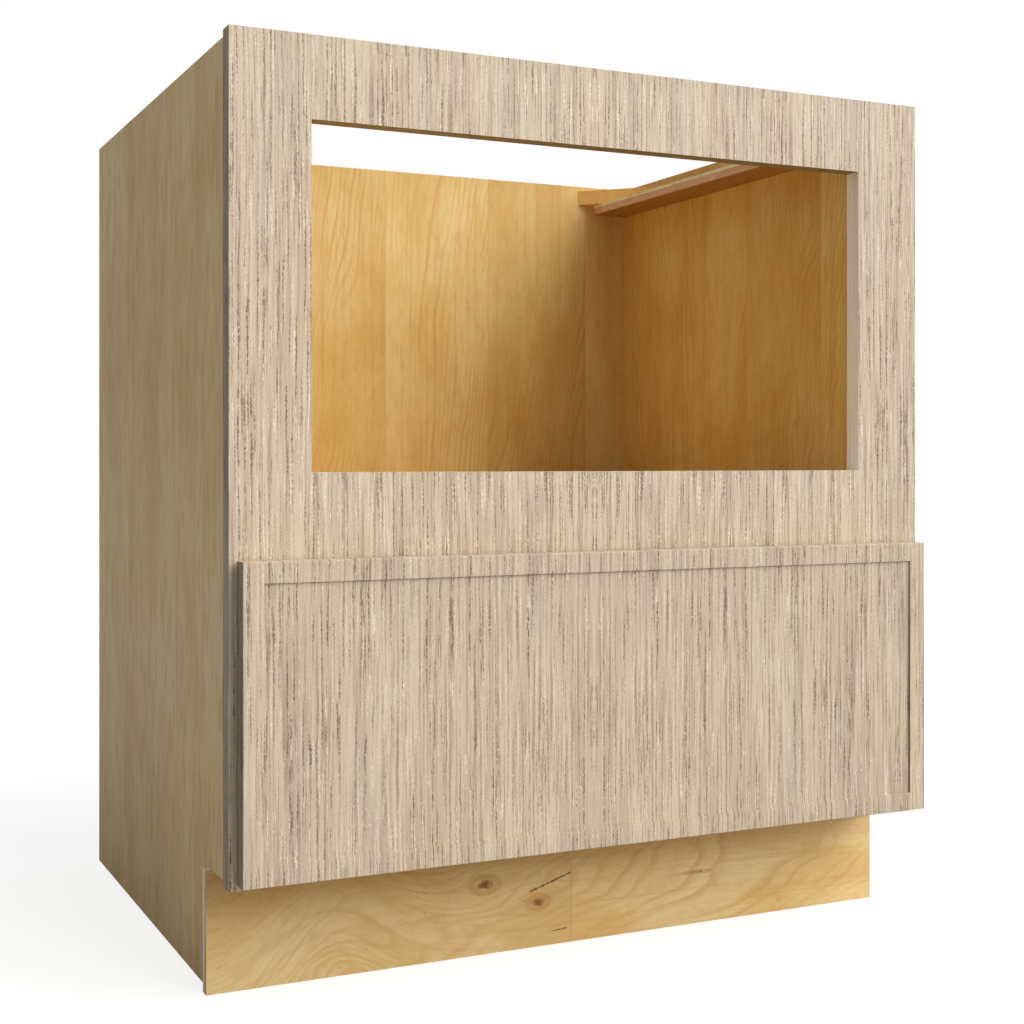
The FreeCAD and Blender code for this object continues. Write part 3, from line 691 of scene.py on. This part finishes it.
def toe_board_maple(name):
    """The toe board: two leaves of maple, knots in the left one, and painted shade that darkens it
    towards the frame above.
    """
    material, bench = new_material(name)
    place = bench.place()
    grain = grain_place(bench, place, X, Y)
    across, through, along = bench.split(grain)
    swirl_run = bench.maths("DIVIDE", bench.maths("SUBTRACT", along, swirl_out), swirl_reach)
    swirl = bench.maths("MULTIPLY", bench.maths("MULTIPLY", swirl_run, swirl_run), -1.0)
    swirl = bench.maths("EXPONENT", swirl)
    bent = bench.maths("MULTIPLY_ADD", swirl, -swirl_lift, across)
    eyes = []
    for up, out, radius, length in toe_knots:
        spot = bench.use(
            knot, Place=grain, Across=up, Along=out, Radius=radius, Length=length
        ).outputs
        bent = bench.maths("MULTIPLY_ADD", spot["Push"], -radius, bent)
        eyes.append((spot["Eye"], spot["Halo"]))
    veneer = bench.use(
        maple_veneer, Place=bench.join(bent, through, along), Seed=0.9, Leaf_Width=0.5,
        Rings=72.0, Arch=3.0, Figure=0.5, Ground=toe_maple, Grain=toe_grain, Light=toe_light,
    ).outputs
    colour = veneer["Colour"]
    for eye, halo in eyes:
        colour = bench.blend(bench.maths("MULTIPLY", halo, halo_share), colour, knot_halo)
        colour = bench.blend(eye, colour, knot_brown)
    for start, end in toe_cracks:
        crack = toe_crack(bench, grain, start, end)
        colour = bench.blend(bench.maths("MULTIPLY", crack, crack_share), colour, crack_brown)

    left_leaf = bench.blend(1.0, colour, left_leaf_shade, "MULTIPLY")
    colour = bench.blend(bench.maths("LESS_THAN", along, 0.0), colour, left_leaf)
    # Painted shade: the board is painted darker towards its top, under the frame above
    toe_painted_shade = bench.blend(1.0, colour, painted_toe_shade_colour, "MULTIPLY")
    colour = bench.blend(bench.fade(across, toe_painted_shade_from, toe_painted_shade_to), colour, toe_painted_shade)
    seam = bench.fade(bench.maths("ABSOLUTE", along), seam_rim, seam_core)
    colour = bench.blend(bench.maths("MULTIPLY", seam, seam_share), colour, toe_grain)

    edge = ply_edges(
        bench, place, grain, "toe_kick_board", through=Y, plies=2.0, first_ply=1.0,
        tones=bare_ply_tones,
    )
    colour = bench.blend(faces_along(bench, bench.facing(), Y), edge["Colour"], colour)
    finish_wood(bench, place, colour, veneer["Height"], sheen=0.46, spread=0.12)
    return material


def steel(name, bright, shade, roughness):
    """Zinc-plated or polished steel."""
    material, bench = new_material(name)
    skin = bench.use(
        plated_steel, Place=bench.place(), Bright=bright, Shade=shade, Roughness=roughness
    ).outputs
    finish_material(
        bench, skin["Colour"], skin["Roughness"], skin["Height"], bump=0.1, depth=0.0001,
        Metallic=1.0,
    )
    return material


def moulded(name, tone):
    """Moulded plastic or rubber."""
    material, bench = new_material(name)
    skin = bench.use(moulded_skin, Place=bench.place(), Tone=tone).outputs
    finish_material(
        bench, skin["Colour"], skin["Roughness"], skin["Height"], bump=0.2, depth=0.0001
    )
    return material


def both(*names):
    """The left and the right piece of each name."""
    return [hand + "_" + name for name in names for hand in ("left", "right")]


# Which piece wears which finish

finishes = [
    (
        front_laminate(
            "frame_laminate", mirror=-0.0150, seed=2.0, tone=frame_tone,
            outer_shade=frame_edge_shade, wrapped=False,
        ),
        both("stile") + ["top_rail", "middle_rail", "bottom_rail"],
    ),
    (
        front_laminate(
            "drawer_laminate", mirror=-0.0267, seed=9.0, tone=drawer_tone,
            outer_shade=drawer_edge_shade, wrapped=True,
        ),
        ["drawer_front"],
    ),
    (toe_board_maple("toe_board_maple"), ["toe_kick_board"]),
    (
        solid_maple("brace_maple", along=X, through=Z, tones=brace_tones, seed=6.3),
        [
            "front_left_corner_brace", "front_right_corner_brace",
            "rear_left_corner_brace", "rear_right_corner_brace",
        ],
    ),
    (
        solid_maple("beech_dowel", along=X, through=Y, tones=dowel_tones, seed=1.3),
        ["frame_dowels"],
    ),
    (
        solid_maple("drawer_side_maple", along=Y, through=X, tones=drawer_tones, seed=2.1),
        ["drawer_left_side", "drawer_right_side"],
    ),
    (
        solid_maple("drawer_end_maple", along=X, through=Y, tones=drawer_tones, seed=4.6),
        ["drawer_box_front", "drawer_box_back"],
    ),
    (
        steel("slide_zinc", zinc, zinc_shade, roughness=0.28),
        both("cabinet_channel", "middle_channel", "drawer_channel"),
    ),
    (
        steel("ball_steel", ball_steel, zinc, roughness=0.1),
        both("outer_balls", "inner_balls"),
    ),
    (moulded("cage_plastic", cage_white), both("outer_ball_cage", "inner_ball_cage")),
    (moulded("lever_plastic", lever_black), both("release_lever")),
    (moulded("bumper_rubber", bumper_clear), ["drawer_bumpers"]),
    (
        steel("screw_zinc", ball_steel, zinc_shade, roughness=0.24),
        [
            "shelf_cleat_screws", "corner_brace_screws", "runner_board_screws",
            "spacer_block_screws", "cabinet_channel_screws", "drawer_channel_screws",
            "drawer_front_screws", "lever_rivets",
        ],
    ),
]

# The boards of plywood: which way the grain runs, which way the board is thin, and the
# veneers outside and inside
boards = {
    "left_side_panel": (Z, X, pale, honey),
    "right_side_panel": (Z, X, pale, honey),
    "back_panel": (Z, Y, pale, honey),
    "bottom_panel": (X, Z, honey, honey),
    "microwave_shelf": (X, Z, honey, honey),
    "left_shelf_cleat": (Y, X, honey, honey),
    "right_shelf_cleat": (Y, X, honey, honey),
    "rear_shelf_cleat": (X, Y, honey, honey),
    "toe_kick_rail": (X, Y, honey, honey),
    "left_runner_board": (Y, X, honey, honey),
    "right_runner_board": (Y, X, honey, honey),
    "left_front_spacer_block": (Y, X, honey, honey),
    "right_front_spacer_block": (Y, X, honey, honey),
    "left_rear_spacer_block": (Y, X, honey, honey),
    "right_rear_spacer_block": (Y, X, honey, honey),
    "drawer_box_bottom": (X, Z, drawer_tones, drawer_tones),
}
first_board_seed = 1.503
board_seed_step = 0.6
strip_seed = 5.2
strip_plies = 1.53

for number, (node, (along, through, outer, inner)) in enumerate(boards.items()):
    seed = first_board_seed + number * board_seed_step
    finishes.append((plywood(node, along, through, outer, inner, seed), [node]))
# Each top strip: honey on top, and a darker copy of it underneath as painted shade
for number, node in enumerate(both("top_strip")):
    strip = plywood(
        node, along=Y, through=Z, outer=honey, inner=strip_underside_painted_shade, seed=strip_seed + number,
        plies=strip_plies, first_ply=1.0, ply_tones=bare_ply_tones,
    )
    finishes.append((strip, [node]))

for material, names in finishes:
    for name in names:
        mesh = parts[name].data
        mesh.materials.clear()
        mesh.materials.append(material)


# Floor, lights and camera

floor_reach = 9.0
floor_grey = paint(196, 196, 196)
floor_white = paint(255, 255, 255)
floor_lift = 0.42
floor_glow = 1.9

# The camera that the photograph was taken with, solved from its edges
camera_place = (-0.75377, -1.63110, 0.49543)
camera_turn = -25.09
camera_lens = 54.864
camera_sensor = 36.0
camera_shift = (0.02115, -0.0525)

# Room light: how bright it is to matt surfaces and to shiny ones
room_light = 0.15
room_shine = 0.28


def make_floor():
    """A plain pale floor. The camera sees it white where nothing shades it."""
    corners = [(-1, -1), (1, -1), (1, 1), (-1, 1)]
    mesh = bpy.data.meshes.new("floor")
    points = [(x * floor_reach, y * floor_reach, 0.0) for x, y in corners]
    mesh.from_pydata(points, [], [(0, 1, 2, 3)])
    floor = bpy.data.objects.new("floor", mesh)
    bpy.context.scene.collection.objects.link(floor)
    material, bench = new_material("floor_white")
    seen = bench.put("LightPath").outputs
    shade = bench.put("BsdfDiffuse", {"Color": floor_grey}).outputs[0]
    white = bench.put("Emission", {"Color": floor_white, "Strength": floor_glow}).outputs[0]
    lift = bench.maths("MULTIPLY", seen["Is Camera Ray"], floor_lift)
    surface = bench.put("MixShader", {0: lift, 1: shade, 2: white}).outputs[0]
    bench.put("OutputMaterial", {"Surface": surface})
    mesh.materials.append(material)


def make_sun(name, strength, spread, tilt, turn):
    """A far soft light that gives a square-on surface this strength, tilted from overhead."""
    lamp = bpy.data.lights.new(name, "SUN")
    lamp.energy = math.pi * strength
    lamp.angle = math.radians(spread)
    light = bpy.data.objects.new(name, lamp)
    light.rotation_euler = (math.radians(tilt), 0.0, math.radians(turn))
    bpy.context.scene.collection.objects.link(light)


def make_lights():
    """A soft light from the right in front, one from overhead, and an even room light."""
    make_sun("window_light", strength=0.95, spread=60, tilt=55, turn=42)
    make_sun("ceiling_light", strength=0.25, spread=120, tilt=0, turn=0)

    world = bpy.data.worlds.new("room")
    bpy.context.scene.world = world
    world.use_nodes = True
    world.node_tree.nodes.clear()
    bench = Bench(world.node_tree)
    seen = bench.put("LightPath").outputs
    strength = bench.fade(seen["Is Glossy Ray"], 0.0, 1.0, room_light, room_shine)
    strength = bench.maths("MAXIMUM", strength, seen["Is Camera Ray"])
    sky = bench.put("Background", {"Color": (1.0, 1.0, 1.0, 1.0), "Strength": strength}).outputs[0]
    bench.put("OutputWorld", {"Surface": sky})


def make_camera():
    """The photograph's camera."""
    lens = bpy.data.cameras.new("camera")
    lens.lens = camera_lens
    lens.sensor_width = camera_sensor
    lens.shift_x, lens.shift_y = camera_shift
    camera = bpy.data.objects.new("camera", lens)
    camera.location = camera_place
    camera.rotation_euler = (math.radians(90), 0.0, math.radians(camera_turn))
    bpy.context.scene.collection.objects.link(camera)
    bpy.context.scene.camera = camera


make_floor()
make_lights()
make_camera()
bpy.context.scene.view_settings.view_transform = "Standard"
